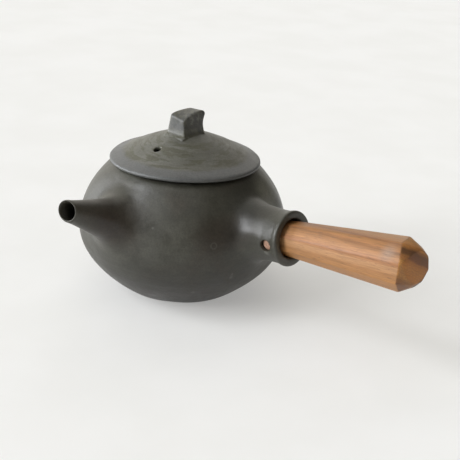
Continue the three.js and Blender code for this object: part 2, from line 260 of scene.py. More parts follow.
# Patterns of the clay, as (size in millimetres, detail, roughness). Grit in such clay is about
# 0.3 mm wide, which is too fine to show, so it is drawn coarser.
CLOUDS = (21, 3, 0.55)
BROWNING = (27, 2, 0.5)
MOTTLE = (4.2, 4, 0.65)
GRIT = (0.9, 3, 0.7)
THROWING_LINES = (1.6, 3, 0.6)
THROWING_RIDGES = (5.5, 1, 0.5)
THROWN_PACE = (0.05, 0.05, 1)
SMEARS = (2.6, 3, 0.6)
SMEARS_PACE = (0.25, 0.25, 1)
BLOTCHES = (2.2, 2, 0.5)

# Colours of the clay: its body, its brown patches and its pale clouds
BODY_COLOURS = ("#38372f", "#3c342b", "#46453d")
LID_COLOURS = ("#4f4f47", "#4d4a3c", "#61615a")
BROWN = "#2c211a"
# Pale marks of the clay; the same colour is painted light at the peg hole and in the spout's mouth
KILN_MARK_AND_PAINTED_LIGHT_COLOUR = "#7d7b75"

# Patches on the clay, as (middle, radius where it is full, radius where it ends, share, colour).
# Some of them are painted shade and painted highlights, as marked.
BODY_PATCHES_AND_PAINTED_LIGHT = (
    ((10, -57, 51), 0, 22, 0.75, BROWN),
    ((0, -68, 61), 0, 15, 0.4, BROWN),
    ((43, -26, 45), 0, 14, 0.5, BROWN),
    ((49, -16, 47), 0, 14, 0.35, BROWN),
    # Painted shade on the shoulder above the spout's root, away from the handle
    ((-16, -42, 52), 0, 18, 0.5, "#2e2d27"),
    # Painted shade on the top of the socket's root and the shoulder over it
    ((49, -5, 57), 0, 19, 0.8, "#22221d"),
    # Painted shade on the near side of the socket's root
    ((47, -14, 46), 0, 11, 0.5, "#24231f"),
    # Painted highlights on the shoulder beside the socket, towards the back
    ((39, 16, 56), 0, 14, 0.8, "#706f64"),
    ((32, 26, 60), 0, 16, 0.8, "#6c6b60"),
)
KILN_MARKS_AND_PAINTED_LIGHT = tuple((middle, end / 5, end, 0.45, KILN_MARK_AND_PAINTED_LIGHT_COLOUR) for middle, end in (
    ((47.3, -14.9, 23.2), 1.6), ((47.6, -15, 25), 1.2), ((35.4, -28, 15.1), 1.5),
    # The last mark on this line is a painted highlight on the lower rim of the peg hole
    ((35.8, -28.4, 16.8), 1), ((22, -42.5, 47.9), 1), ((65, -11.8, 40.5), 2),
    # Painted light on the inner wall of the spout's mouth
    ((-3.4, -73, 55), 3.2),
))
KNOB_PAINTED_LIGHT_AND_SHADE = (
    # Painted light on the knob's face towards the handle
    ((7, 1, 87), 0, 9, 0.7, "#757572"),
    # Painted shade on the knob's face towards the spout
    ((0, -9, 86), 0, 7, 0.6, "#393a3d"),
)
RING_MARK = (44.1, -24.8, 41.2)
RING_MARK_RADIUS = 1.4
# A paler patch low on the front of the foot
PALE_FOOT_PATCH = ((8, -43, 13), 12, 26)
KNOB_WEAR = ((0, 1, 88), 9, 12)

# Patterns of the wood, in the same way. Its fibres and pores are 0.1 mm wide or less, which is
# too fine to show, so both are drawn coarser.
FIBRES = (0.55, 3, 0.65)
PORES = (0.3, 2, 0.6)
FIBRES_PACE = (0.035, 1, 1)
WANDER = (6, 2, 0.5)
SHADES = (11, 1, 0.5)
WANDER_PACE = (0.07, 1, 1)
YEAR_RINGS = (0.9, 1, 0.5)

# Way across the wood's growth rings, and the colours met on that way, as (millimetres, colour):
# on the handle's sides, on the middle of its end, and on the bevels round that
GRAIN_LEAN = (0.033, 0.52, 0.85)
SIDE_BANDS = (
    (-13, "#ab7848"), (-10, "#ad7945"), (-9, "#9f7144"), (-7.4, "#986b42"), (-6.2, "#a57a52"),
    (-4.6, "#a87e57"), (-3.2, "#93643f"), (-2.4, "#946642"), (-1.2, "#a1744c"), (0.2, "#9c6f46"),
    (1.3, "#8a6038"), (2.1, "#7f542f"), (3, "#8e6035"), (4.6, "#895d31"), (5.9, "#7a4f2c"),
    (6.9, "#8c6037"), (10, "#986f46"),
)
END_BANDS = (
    (-10, "#8d5a27"), (-8.6, "#774922"), (-7.6, "#9e6528"), (-6, "#af6f2c"), (-2, "#a96e2d"),
    (-0.5, "#ab6c2a"), (0.9, "#a06429"), (1.6, "#7c491f"), (3.2, "#6f411c"), (4.8, "#70441e"),
    (5.6, "#925c24"), (6.6, "#b87a35"), (9, "#b47e38"),
)
BEVEL_BANDS = (
    (-9.5, "#7d4f28"), (-8, "#8a5b2e"), (-6, "#ab753b"), (-4.6, "#a9733c"), (-3, "#aa763c"),
    (-2, "#b58044"), (-1, "#bd874a"), (0, "#a2723b"), (1, "#946132"), (2.5, "#8d5d31"),
    (3.3, "#62401f"), (5, "#5c391c"), (5.7, "#946233"), (7, "#ad743b"), (9, "#b27e42"),
)
# Patches on the wood, in the same way: painted shade on the lower bevels of the end, towards the
# far side, and a pale grey patch on the near upper side
WOOD_PATCHES_AND_PAINTED_SHADE = (
    ((136.4, 2.6, -8.7), 1.8, 3.8, 0.9, "#2c1b10"),
    ((137.9, 6, -6.4), 1, 3, 0.9, "#2c1b10"),
    ((129, -9.1, 7.6), 0, 6, 0.6, "#8c7a6c"),
)
DOWEL_RINGS = (0.8, 3, 0.5)
DOWEL_PACE = (1, 0.1, 1)
PLASTER_CLOUDS = (60, 3, 0.5)


def between(pair, share):
    """The value at a share of the way from the first of a pair to the second."""
    return pair[0] + (pair[1] - pair[0]) * share


def clamped(value):
    """The value, kept between 0 and 1."""
    return min(max(value, 0), 1)


def eased(share):
    """A share that starts and ends softly."""
    return share * share * (3 - 2 * share)


def arched(share):
    """An arch over a way: 0 at both ends and 1 in the middle."""
    return 4 * share * (1 - share)


def bend(start, control, end, steps):
    """Points of a bend between two places, drawn towards a control point."""
    points = []
    for i in range(steps + 1):
        t = i / steps
        shares = ((1 - t) ** 2, 2 * t * (1 - t), t * t)
        places = zip(start, control, end)
        points.append(tuple(sum(w * v for w, v in zip(shares, place)) for place in places))
    return points


def side_bends(foot, belly, mouth):
    """The two bends of the pot's side, as points of radius and height from the foot up."""
    low = (belly[0], (foot[1] + belly[1]) / 2)
    high = (belly[0], belly[1] + SHOULDER_FULLNESS * (mouth[1] - belly[1]))
    return bend(foot, low, belly, SIDE_STEPS) + bend(belly, high, mouth, SIDE_STEPS)[1:]


OUTSIDE = side_bends(
    (FOOT_RADIUS, 0),
    (BELLY_RADIUS, BELLY_HEIGHT),
    (SHOULDER_TOP_RADIUS, MOUTH_HEIGHT - RIM_ROUND),
)
INSIDE = side_bends(
    (FOOT_RADIUS - POT_WALL, POT_FLOOR),
    (BELLY_RADIUS - POT_WALL, BELLY_HEIGHT),
    (MOUTH_RADIUS - RIM_WALL, MOUTH_HEIGHT - NECK_DEPTH),
)


def radius_at(side, height):
    """The radius of a side at a height."""
    above = bisect.bisect(side, height, key=lambda point: point[1])
    if above in (0, len(side)):
        return side[max(above - 1, 0)][0]
    (r0, z0), (r1, z1) = side[above - 1:above + 1]
    return r0 + (r1 - r0) * (height - z0) / (z1 - z0)


def lid_height(radius):
    """Height of the lid's top above its seat, before its rim droops."""
    pairs = zip(LID_TOP, LID_TOP[1:])
    (r0, z0), (r1, z1) = next(pair for pair in pairs if radius >= pair[1][0])
    return z0 + (z1 - z0) * (radius - r0) / (r1 - r0)


def depth_in(side, point):
    """How far a point is outside a side, measured level."""
    return math.hypot(point.x, point.y) - radius_at(side, point.z)


def onto_side(side, point):
    """The point moved straight out or in, onto a side."""
    share = radius_at(side, point.z) / math.hypot(point.x, point.y)
    return Vector((point.x * share, point.y * share, point.z))


def out_axis(base_height, rise, turn):
    """Frame of an axis out of the pot: +Z runs outwards, and X points down."""
    turned = Matrix.Rotation(math.radians(turn), 4, "Z")
    tipped = Matrix.Rotation(math.radians(90 - rise), 4, "Y")
    return Matrix.Translation((0, 0, base_height)) @ turned @ tipped


SPOUT_AXIS = out_axis(SPOUT_BASE_HEIGHT, SPOUT_RISE, SPOUT_TURN)
HANDLE_AXIS = out_axis(HANDLE_BASE_HEIGHT, HANDLE_RISE, HANDLE_TURN)
SOCKET_AXIS = HANDLE_AXIS @ Matrix.Rotation(math.radians(PEG_TILT), 4, "Z")
PEG_CENTRE = SOCKET_AXIS @ Matrix.Translation((0, 0, PEG_REACH))
PEG_AXIS = PEG_CENTRE @ Matrix.Rotation(math.radians(90), 4, "X")
STEAM_AXIS = Matrix.Translation((0, -STEAM_HOLE_OFFSET, 0))


def around(axis, radius, angle, distance):
    """A place at a distance along an axis, and at a radius and angle round it."""
    return axis @ Vector((radius * math.cos(angle), radius * math.sin(angle), distance))


def side_around(axis, side, radius, angle):
    """The place where a side is at a radius and angle round an axis."""
    near, far = SIDE_SEARCH
    while far - near > SIDE_SEARCH_GAP:
        middle = (near + far) / 2
        point = around(axis, radius, angle, middle)
        if depth_in(side, point) < 0:
            near = middle
        else:
            far = middle
    return point


def add_object(name, mesh):
    """A new object at the origin that shows the mesh."""
    piece = bpy.data.objects.new(name, mesh)
    bpy.context.scene.collection.objects.link(piece)
    return piece


def finished(name, bm, body, slot, *nodes):
    """The bmesh as a smooth piece in metres, which rides on a body and replaces CAD nodes."""
    bmesh.ops.scale(bm, vec=(MM, MM, MM), verts=bm.verts)
    mesh = bpy.data.meshes.new(name)
    bm.to_mesh(mesh)
    bm.free()
    mesh.shade_smooth()
    piece = add_object(name, mesh)
    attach(piece, body)
    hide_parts(*nodes)
    return piece


def subdivided(bm):
    """A new bmesh: the cage of the old one, rounded by subdivision."""
    mesh = bpy.data.meshes.new("cage")
    bm.to_mesh(mesh)
    bm.free()
    cage = add_object("cage", mesh)
    rounding = cage.modifiers.new("rounding", "SUBSURF")
    rounding.levels = CAGE_LEVELS
    rounding.render_levels = CAGE_LEVELS
    seen = cage.evaluated_get(bpy.context.evaluated_depsgraph_get())
    shaped = bmesh.new()
    shaped.from_mesh(seen.to_mesh())
    seen.to_mesh_clear()
    bpy.data.objects.remove(cage)
    return shaped


def pressed(bm, depth, size):
    """Sinks shallow hollows into a hand-worked surface. They never rise above its true form."""
    bm.normal_update()
    moves = [depth * (0.5 + 0.5 * noise.noise(vert.co / size)) for vert in bm.verts]
    for vert, move in zip(bm.verts, moves):
        vert.co -= vert.normal * move


def soften(bm, verts, factor):
    """Draws verts towards the middle of their neighbours."""
    bmesh.ops.smooth_vert(
        bm, verts=verts, factor=factor, use_axis_x=True, use_axis_y=True, use_axis_z=True,
    )


def rows_from(radius, height, rows):
    """Points of an outline from rows of (outwards, upwards) from one radius and height."""
    return [(radius + out, height + up) for out, up in rows]


def spin_outline(bm, outline, sectors):
    """Turns an outline of radius and height about the pot's middle line."""
    verts = [bm.verts.new((radius, 0, height)) for radius, height in outline]
    edges = [bm.edges.new(pair) for pair in zip(verts, verts[1:])]
    bmesh.ops.spin(
        bm, geom=verts + edges, cent=(0, 0, 0), axis=(0, 0, 1), angle=math.tau, steps=sectors,
        use_merge=True,
    )
    bmesh.ops.remove_doubles(bm, verts=bm.verts, dist=MERGE_GAP)


def close_ends(bm):
    """Fills every open ring of edges with one face."""
    bmesh.ops.holes_fill(bm, edges=[edge for edge in bm.edges if edge.is_boundary], sides=0)


def open_block(bm, faces, axis):
    """Takes a block of faces out, and gives the opening's verts in order round an axis."""
    verts = {vert for face in faces for vert in face.verts}
    bmesh.ops.delete(bm, geom=faces, context="FACES")
    back = axis.inverted()
    turn = {}
    for vert in verts:
        if vert.is_valid:
            local = back @ vert.co
            turn[vert] = math.atan2(local.y, local.x) % math.tau
    ring = sorted(turn, key=turn.get)
    start = min(range(len(ring)), key=lambda i: min(turn[ring[i]], math.tau - turn[ring[i]]))
    return ring[start:] + ring[:start]


def loop_edges(ring):
    """The edges between neighbours in a closed ring of verts."""
    pairs = zip(ring, ring[1:] + ring[:1])
    return [next(e for e in a.link_edges if e.other_vert(a) is b) for a, b in pairs]


def ring_angles(ring):
    """An even angle for each vert of a ring."""
    return [i * math.tau / len(ring) for i in range(len(ring))]


def grow_ring(bm, ring, places):
    """Extrudes a ring of verts to new places, and gives the new ring in the same order."""
    grown = bmesh.ops.extrude_edge_only(bm, edges=loop_edges(ring))["geom"]
    fresh = {item for item in grown if isinstance(item, bmesh.types.BMVert)}
    new_ring = []
    for vert, place in zip(ring, places):
        new = next(e.other_vert(vert) for e in vert.link_edges if e.other_vert(vert) in fresh)
        new.co = place
        new_ring.append(new)
    return new_ring


def grow_tube(bm, ring, axis, steps):
    """Extrudes a ring through steps of radius and distance, and gives every ring made."""
    rings = []
    for radius, distance in steps:
        places = [around(axis, radius * TUBE_SWELL, a, distance) for a in ring_angles(ring)]
        ring = grow_ring(bm, ring, places)
        rings.append(ring)
    return rings


def root_radius(radius, drop, angle):
    """Radius of a root at an angle round its axis, with its lower side drawn down by a drop."""
    return radius + drop * (0.5 + 0.5 * math.cos(angle))


def grow_flare(bm, ring, axis, radius, drop, neck, taper, steps):
    """Extrudes a ring at a root on the pot's outside in a soft bend, which tapers to a neck."""
    back = axis.inverted()
    angles = ring_angles(ring)
    bends = []
    for angle in angles:
        ends = (root_radius(radius, drop, angle), neck[0] * taper)
        root, corner = (
            (end, (back @ side_around(axis, OUTSIDE, end, angle)).z) for end in ends
        )
        bends.append(bend(root, corner, (neck[0] * TUBE_SWELL, neck[1]), steps))
    for i in range(1, steps + 1):
        places = [around(axis, b[i][0], angle, b[i][1]) for b, angle in zip(bends, angles)]
        ring = grow_ring(bm, ring, places)
    return ring


def open_side(bm, side, axis, turn, radius, drop=0):
    """Opens a round root in a side of the pot, and eases the rows around it."""
    half = BLOCK_SECTORS / 2 * math.tau / POT_SECTORS

    def in_block(face):
        middle = face.calc_center_median()
        angle = math.atan2(middle.y, middle.x) - math.radians(turn)
        turned = abs((angle + math.pi) % math.tau - math.pi)
        on_side = abs(depth_in(side, middle)) < POT_WALL / 2
        return turned < half and BLOCK_LOW < middle.z < BLOCK_HIGH and on_side

    ring = open_block(bm, [face for face in bm.faces if in_block(face)], axis)
    for vert, angle in zip(ring, ring_angles(ring)):
        vert.co = side_around(axis, side, root_radius(radius, drop, angle), angle)
    back = axis.inverted()
    nearby = []
    for vert in bm.verts:
        local = back @ vert.co
        near = local.z > 0 and math.hypot(local.x, local.y) < radius * EASED_REACH
        on_side = abs(depth_in(side, vert.co)) < POT_WALL / 2
        if near and on_side and EASED_FROM < vert.co.z < BLOCK_HIGH and vert not in ring:
            nearby.append(vert)
    for _ in range(EASED_ROUNDS):
        soften(bm, nearby, 0.5)
        for vert in nearby:
            vert.co = onto_side(side, vert.co)
    return ring


def settle(bm):
    """Draws the skin onto the pot's true sides, where it is clear of the spout and the socket."""
    roots = (
        (SPOUT_AXIS.inverted(), SPOUT_ROOT_RADIUS + SPOUT_ROOT_DROP / 2),
        (HANDLE_AXIS.inverted(), SOCKET_ROOT_RADIUS + SOCKET_ROOT_DROP / 2),
    )
    for vert in bm.verts:
        clear = 1
        for back, radius in roots:
            local = back @ vert.co
            if local.z > 0:
                reach = local.xy.length / radius
                clear = min(clear, clamped((reach - CLEAR_START) / CLEAR_FADE))
        for side in (OUTSIDE, INSIDE):
            on_side = abs(depth_in(side, vert.co)) < POT_WALL / 2
            low, high = side[0][1] + CLEAR_OF_FOOT, side[-1][1] - CLEAR_OF_MOUTH
            if on_side and low < vert.co.z < high:
                vert.co = vert.co.lerp(onto_side(side, vert.co), eased(clear))


def slant_mouth(rings):
    """Shears the spout's end, so that it reaches furthest above and on the side off the handle."""
    back = SPOUT_AXIS.inverted()
    for vert in {vert for ring in rings for vert in ring}:
        local = back @ vert.co
        if local.z > MOUTH_START:
            share = (local.z - MOUTH_START) / (SPOUT_LIP[1][1] - MOUTH_START)
            local.z += (MOUTH_SHIFT - MOUTH_SLANT * local.x - MOUTH_TURN * local.y) * share
            vert.co = SPOUT_AXIS @ local


def spin_pot(bm):
    """Foot, side, rim, lining and floor, turned as on a wheel."""
    foot = [(FOOT_RADIUS / 2, 0)] + rows_from(FOOT_RADIUS, 0, FOOT_ROWS)
    wall = [(radius_at(OUTSIDE, z) + POT_SWELL, z) for z in OUTER_ROWS]
    rim = rows_from(SHOULDER_TOP_RADIUS, MOUTH_HEIGHT, RIM_OUTER_ROWS)
    rim += rows_from(MOUTH_RADIUS - RIM_WALL, MOUTH_HEIGHT, RIM_INNER_ROWS)
    lining = [(radius_at(INSIDE, z) + POT_SWELL, z) for z in INNER_ROWS]
    floor = [(FOOT_RADIUS - POT_WALL, POT_FLOOR + FLOOR_CORNER), (FOOT_RADIUS / 2, POT_FLOOR)]
    spin_outline(bm, foot + wall + rim + lining + floor, POT_SECTORS)
    close_ends(bm)


def grow_spout(bm):
    """The spout and its bore, from the pot's outside through to its inside."""
    root = open_side(
        bm, OUTSIDE, SPOUT_AXIS, SPOUT_TURN, SPOUT_ROOT_RADIUS, SPOUT_ROOT_DROP,
    )
    hole = open_side(bm, INSIDE, SPOUT_AXIS, SPOUT_TURN, SPOUT_HOLE_RADIUS * TUBE_SWELL)
    neck = grow_flare(
        bm, root, SPOUT_AXIS, SPOUT_ROOT_RADIUS, SPOUT_ROOT_DROP, SPOUT_NECK, SPOUT_TAPER,
        SPOUT_FLARE_STEPS,
    )
    rings = grow_tube(bm, neck, SPOUT_AXIS, SPOUT_OUTSIDE + SPOUT_LIP + SPOUT_BORE)
    bmesh.ops.bridge_loops(bm, edges=loop_edges(rings[-1]) + loop_edges(hole))
    slant_mouth(rings)


def open_peg_hole(bm, rings, radius, edge):
    """Opens a round hole over three rings of the socket, facing the near side."""
    block = {ring[column] for ring in rings for column in PEG_HOLE_COLUMNS}
    faces = [face for face in bm.faces if all(vert in block for vert in face.verts)]
    ring = open_block(bm, faces, PEG_AXIS)
    for vert, angle in zip(ring, ring_angles(ring)):
        local = around(Matrix(), (PEG_HOLE_RADIUS + edge) * HOLE_SWELL, angle, 0)
        local.z = math.sqrt((radius * TUBE_SWELL) ** 2 - local.x ** 2)
        vert.co = PEG_AXIS @ local
    return ring


def grow_socket(bm):
    """The handle's socket, closed at its bottom, with the dowel's hole through its wall."""
    root = open_side(
        bm, OUTSIDE, SOCKET_AXIS, HANDLE_TURN, SOCKET_ROOT_RADIUS, SOCKET_ROOT_DROP,
    )
    neck = grow_flare(
        bm, root, SOCKET_AXIS, SOCKET_ROOT_RADIUS, SOCKET_ROOT_DROP, SOCKET_NECK, SOCKET_TAPER,
        SOCKET_FLARE_STEPS,
    )
    rings = grow_tube(bm, neck, SOCKET_AXIS, SOCKET_OUTSIDE + SOCKET_LIP + SOCKET_BORE)
    bmesh.ops.contextual_create(bm, geom=loop_edges(rings[-1]))
    hole = open_peg_hole(bm, rings[PEG_HOLE_OUTER_ROWS], PEG_HOLE_OUTSIDE, PEG_HOLE_EDGE)
    inner_hole = open_peg_hole(bm, rings[PEG_HOLE_INNER_ROWS], PEG_HOLE_INSIDE, 0)
    for distance in PEG_HOLE_STEPS:
        radius = PEG_HOLE_RADIUS * HOLE_SWELL
        places = [around(PEG_AXIS, radius, angle, distance) for angle in ring_angles(hole)]
        hole = grow_ring(bm, hole, places)
    bmesh.ops.bridge_loops(bm, edges=loop_edges(hole) + loop_edges(inner_hole))


def make_pot_skin():
    """Pot, spout and socket as one clay skin, as if their joints had been smoothed with slip."""
    bm = bmesh.new()
    spin_pot(bm)
    grow_spout(bm)
    grow_socket(bm)
    bmesh.ops.recalc_face_normals(bm, faces=bm.faces)
    bm = subdivided(bm)
    settle(bm)
    pressed(bm, *POT_DENTS)
    return finished("pot_skin", bm, "pot", "stoneware", "pot_body", "spout", "handle_socket")


def droop_rim(bm):
    """Lets the rim hang lower at the sides and the back than in front, clear of the mouth."""
    front = Vector((
        math.sin(math.radians(VIEW_AZIMUTH)), -math.cos(math.radians(VIEW_AZIMUTH)), 0,
    ))
    for vert in bm.verts:
        start, full = DROOP_TOP if vert.co.z > DROOP_TOP_FROM else DROOP_UNDER
        outwards = clamped((vert.co.xy.length - start) / (full - start))
        if outwards > 0:
            flat = Vector((vert.co.x, vert.co.y, 0))
            turned = clamped(math.degrees(flat.angle(front)) / DROOP_TURN)
            vert.co.z -= LID_DROOP * eased(outwards) * eased(turned)


def open_steam_hole(bm, sunk):
    """Opens a round hole in one face of the lid, which lies a depth below the top."""
    half = math.tau / LID_SECTORS
    inner, outer = STEAM_HOLE_BLOCK

    def in_block(face):
        middle = face.calc_center_median()
        radius = math.hypot(middle.x, middle.y)
        turned = abs(math.atan2(middle.x, -middle.y))
        level = abs(middle.z - lid_height(radius) + sunk)
        return turned < half and inner < radius < outer and level < LID_WALL / 3

    ring = open_block(bm, [face for face in bm.faces if in_block(face)], STEAM_AXIS)
    for vert, place in zip(ring, steam_places(ring, STEAM_HOLE_RADIUS + STEAM_HOLE_EDGE, sunk)):
        vert.co = place
    return ring


def steam_places(ring, radius, sunk):
    """Places of a ring round the steam hole, which lie a depth below the lid's top."""
    places = []
    for angle in ring_angles(ring):
        place = around(STEAM_AXIS, radius * HOLE_SWELL, angle, 0)
        place.z = lid_height(math.hypot(place.x, place.y)) - sunk
        places.append(place)
    return places


def lid_outline():
    """Outline of the lid: its underside, the collar, the seat, the rim and the top."""
    inner = COLLAR_RADIUS - COLLAR_WALL
    inwards, down = COLLAR_FILLET
    under = [(radius, height - LID_WALL) for radius, height in LID_TOP[LID_UNDER_ROWS]]
    outline = under[::-1]
    outline.append((inner - inwards, lid_height(inner - inwards) - LID_WALL))
    outline.append((inner, lid_height(inner) - LID_WALL - down))
    outline += rows_from(inner, -COLLAR_DEPTH, COLLAR_INNER_ROWS)
    outline += rows_from(COLLAR_RADIUS, -COLLAR_DEPTH, COLLAR_OUTER_ROWS)
    outline += rows_from(COLLAR_RADIUS, 0, COLLAR_SEAT_ROWS)
    outline += rows_from(LID_RADIUS, 0, LID_EDGE_ROWS)
    outline += LID_TOP[:-1]
    return [(radius * RING_SWELL, height) for radius, height in outline]


def make_lid():
    """The lid: a thin rim, a shallow cone and a collar below, with a steam hole over the spout."""
    bm = bmesh.new()
    spin_outline(bm, lid_outline(), LID_SECTORS)
    close_ends(bm)
    for face in [face for face in bm.faces if len(face.verts) > 4]:
        is_under = face.calc_center_median().z < LID_TOP[-2][1] - LID_WALL / 2
        middle = bmesh.ops.poke(bm, faces=[face])["verts"][0]
        middle.co.z = lid_height(0) - (LID_WALL if is_under else 0)

    hole = open_steam_hole(bm, 0)
    hole[STEAM_BURR_VERT].co.z += STEAM_BURR
    below = open_steam_hole(bm, LID_WALL)
    for sunk in STEAM_HOLE_DEPTHS:
        hole = grow_ring(bm, hole, steam_places(hole, STEAM_HOLE_RADIUS, sunk))
    bmesh.ops.bridge_loops(bm, edges=loop_edges(hole) + loop_edges(below))

    bmesh.ops.recalc_face_normals(bm, faces=bm.faces)
    bm = subdivided(bm)
    droop_rim(bm)
    bmesh.ops.translate(bm, vec=(0, 0, LID_SEAT), verts=bm.verts)
    pressed(bm, *LID_DENTS)
    return finished("lid_plate", bm, "lid", "lid_stoneware", "lid")


def knob_ring(share, outset):
    """A rounded rectangle of the knob at a share of its height, spread by an outset."""
    half = between(KNOB_WIDTH, share) / 2 + outset * KNOB_BEAD_SIDES
    front = -between(KNOB_FRONT, share) - outset
    back = between(KNOB_BACK, share) - KNOB_WAIST * arched(share)
    shift = between(KNOB_SHIFT, share)
    corners = (
        (half - KNOB_CORNER, front + KNOB_CORNER, -90),
        (half - KNOB_CORNER, back - KNOB_CORNER, 0),
        (KNOB_CORNER - half, back - KNOB_CORNER, 90),
        (KNOB_CORNER - half, front + KNOB_CORNER, 180),
    )
    arcs = []
    for x, y, turn in corners:
        centre = Matrix.Translation((shift + x, y, 0))
        angles = [turn + 90 * i / KNOB_CORNER_STEPS for i in range(KNOB_CORNER_STEPS + 1)]
        arcs.append([around(centre, KNOB_CORNER, math.radians(a), 0) for a in angles])
    points = []
    for arc, following in zip(arcs, arcs[1:] + arcs[:1]):
        shares = [i / KNOB_SIDE_STEPS for i in range(1, KNOB_SIDE_STEPS)]
        points += arc + [arc[-1].lerp(following[0], share) for share in shares]
    return points


def knob_shares(place):
    """How far a place is along the knob's top to the back, and across it towards the handle."""
    along = (place.y + KNOB_FRONT[1]) / (KNOB_FRONT[1] + KNOB_BACK[1])
    across = (place.x - KNOB_SHIFT[1]) / KNOB_WIDTH[1] + 0.5
    return clamped(along), clamped(across)


def knob_top(place):
    """Height of the knob's arched top, cut at a slant and lowest at the near corner."""
    along, across = knob_shares(place)
    level = between([between(pair, across) for pair in KNOB_HEIGHTS], along)
    return LID_SEAT + lid_height(0) + level + between(KNOB_ARCH, across) * arched(along)


def knob_foot(place, up):
    """Height at a place of the knob's foot, which is sunk a little into the lid."""
    return LID_SEAT + lid_height(place.xy.length) + up - KNOB_SINK


def knob_rings():
    """Rings of places up the knob: its bead, its sides, its rounded edge and its top."""
    rings = []
    for up, outset in KNOB_BEAD:
        places = knob_ring(0, outset)
        for place in places:
            place.z = knob_foot(place, up)
        rings.append(places)
    edge = knob_ring(1, 0)
    rounds = [between(KNOB_ROUNDS, knob_shares(place)[0]) for place in edge]
    for i in range(1, KNOB_ROWS + 1):
        places = knob_ring(i / KNOB_ROWS, 0)
        for place, corner, depth in zip(places, edge, rounds):
            low = knob_foot(place, KNOB_BEAD[-1][0])
            place.z = between((low, knob_top(corner) - depth), i / KNOB_ROWS)
        rings.append(places)
    middle = sum(edge, Vector()) / len(edge)
    for i in range(1, KNOB_EDGE_ROWS + 1):
        angle = i / KNOB_EDGE_ROWS * math.pi / 2
        places = []
        for corner, depth in zip(edge, rounds):
            inwards = (middle - corner).normalized()
            place = corner + inwards * depth * (1 - math.cos(angle))
            place.z = knob_top(place) - depth * (1 - math.sin(angle))
            places.append(place)
        rings.append(places)
    for i in range(1, KNOB_TOP_ROWS):
        inner = [place.lerp(middle, i / KNOB_TOP_ROWS) for place in places]
        for place in inner:
            place.z = knob_top(place)
        rings.append(inner)
    return rings


def make_knob():
    """The knob: a slab with soft edges, set on a bead of clay that is widest at the spout."""
    bm = bmesh.new()
    first, *others = knob_rings()
    ring = [bm.verts.new(place) for place in first]
    bmesh.ops.contextual_create(bm, geom=ring)
    for places in others:
        ring = grow_ring(bm, ring, places)
    bmesh.ops.contextual_create(bm, geom=loop_edges(ring))
    factor, rounds = KNOB_SOFTENING
    for _ in range(rounds):
        soften(bm, bm.verts, factor)
    for vert in bm.verts:
        gap = (vert.co - Vector(THUMB_DENT)).length
        vert.co.x -= THUMB_DENT_DEPTH * max(0, 1 - (gap / THUMB_DENT_RADIUS) ** 2)
    bmesh.ops.recalc_face_normals(bm, faces=bm.faces)
    pressed(bm, *KNOB_DENTS)
    return finished("slab_knob", bm, "lid", "lid_stoneware", "lid_knob")


def make_handle():
    """The stick is carved flat by flat, so it is the hull of its rings of corners."""
    bm = bmesh.new()
    slope = (HANDLE_WIDE_FLAT - LIP_FLAT) / (HANDLE_END - LIP_REACH)
    sides = len(BEVEL_LENGTHS)
    widen = 1 / math.cos(math.pi / sides)
    for i, length in enumerate(BEVEL_LENGTHS):
        angle = (i + 0.5) * math.tau / sides
        shoulder = HANDLE_END - length
        end = HANDLE_END + HANDLE_END_SLANT * math.sin(angle)
        for flat, distance in (
            (LIP_FLAT + slope * (TENON_START - LIP_REACH), TENON_START),
            (LIP_FLAT + slope * (shoulder - LIP_REACH), shoulder),
            (HANDLE_END_FLAT, end),
        ):
            bm.verts.new(around(HANDLE_AXIS, flat * widen, angle, distance))
    bmesh.ops.convex_hull(bm, input=bm.verts)
    bmesh.ops.dissolve_limit(
        bm, angle_limit=math.radians(FLAT_LIMIT), verts=bm.verts, edges=bm.edges,
    )
    bmesh.ops.bevel(
        bm, geom=bm.edges, offset=HANDLE_EDGE, offset_type="OFFSET", segments=HANDLE_EDGE_STEPS,
        profile=0.5, affect="EDGES", material=-1, clamp_overlap=True,
    )
    bmesh.ops.recalc_face_normals(bm, faces=bm.faces)
    return finished("carved_handle", bm, "pot", "handle_wood", "wood_handle")


def make_peg():
    """The dowel: turned, with a worn edge and a slightly domed end."""
    bm = bmesh.new()
    outline = [(0, PEG_TOP - PEG_LENGTH), (PEG_RADIUS, PEG_TOP - PEG_LENGTH)]
    outline += bend(*rows_from(PEG_RADIUS, PEG_TOP, PEG_EDGE_ROWS), PEG_EDGE_STEPS)
    outline += [(PEG_CROWN, PEG_TOP), (0, PEG_TOP)]
    spin_outline(bm, outline, PEG_SECTORS)
    bmesh.ops.transform(bm, matrix=PEG_AXIS, verts=bm.verts)
    bmesh.ops.recalc_face_normals(bm, faces=bm.faces)
    return finished("turned_peg", bm, "pot", "peg_wood", "handle_peg")


def srgb(code):
    """A colour such as "#8a6f5c" as Blender's linear values."""
    levels = [int(code[i:i + 2], 16) / 255 for i in (1, 3, 5)]
    linear = (v / 12.92 if v <= 0.04045 else ((v + 0.055) / 1.055) ** 2.4 for v in levels)
    return (*linear, 1)


def feed(tree, entry, value):
    """Links an input to the socket that feeds it, or sets a plain value on it."""
    if isinstance(value, bpy.types.NodeSocket):
        tree.links.new(value, entry)
    else:
        entry.default_value = value


def add_node(tree, kind, inputs=(), output=0, **settings):
    """Adds a node with its settings and its inputs, by order or by name, and gives an output."""
    node = tree.nodes.new("ShaderNode" + kind)
    for name, value in settings.items():
        setattr(node, name, value)
    for key, value in inputs.items() if isinstance(inputs, dict) else enumerate(inputs):
        feed(tree, node.inputs[key], value)
    return node.outputs[output]


# Settings that several nodes share
SMOOTH = {"interpolation_type": "SMOOTHSTEP"}
TIMES = {"operation": "MULTIPLY"}
PLUS = {"operation": "ADD"}


def new_material(name):
    """A material, its node tree and its main shader."""
    material = bpy.data.materials.new(name)
    material.use_nodes = True
    return material, material.node_tree, material.node_tree.nodes["Principled BSDF"]


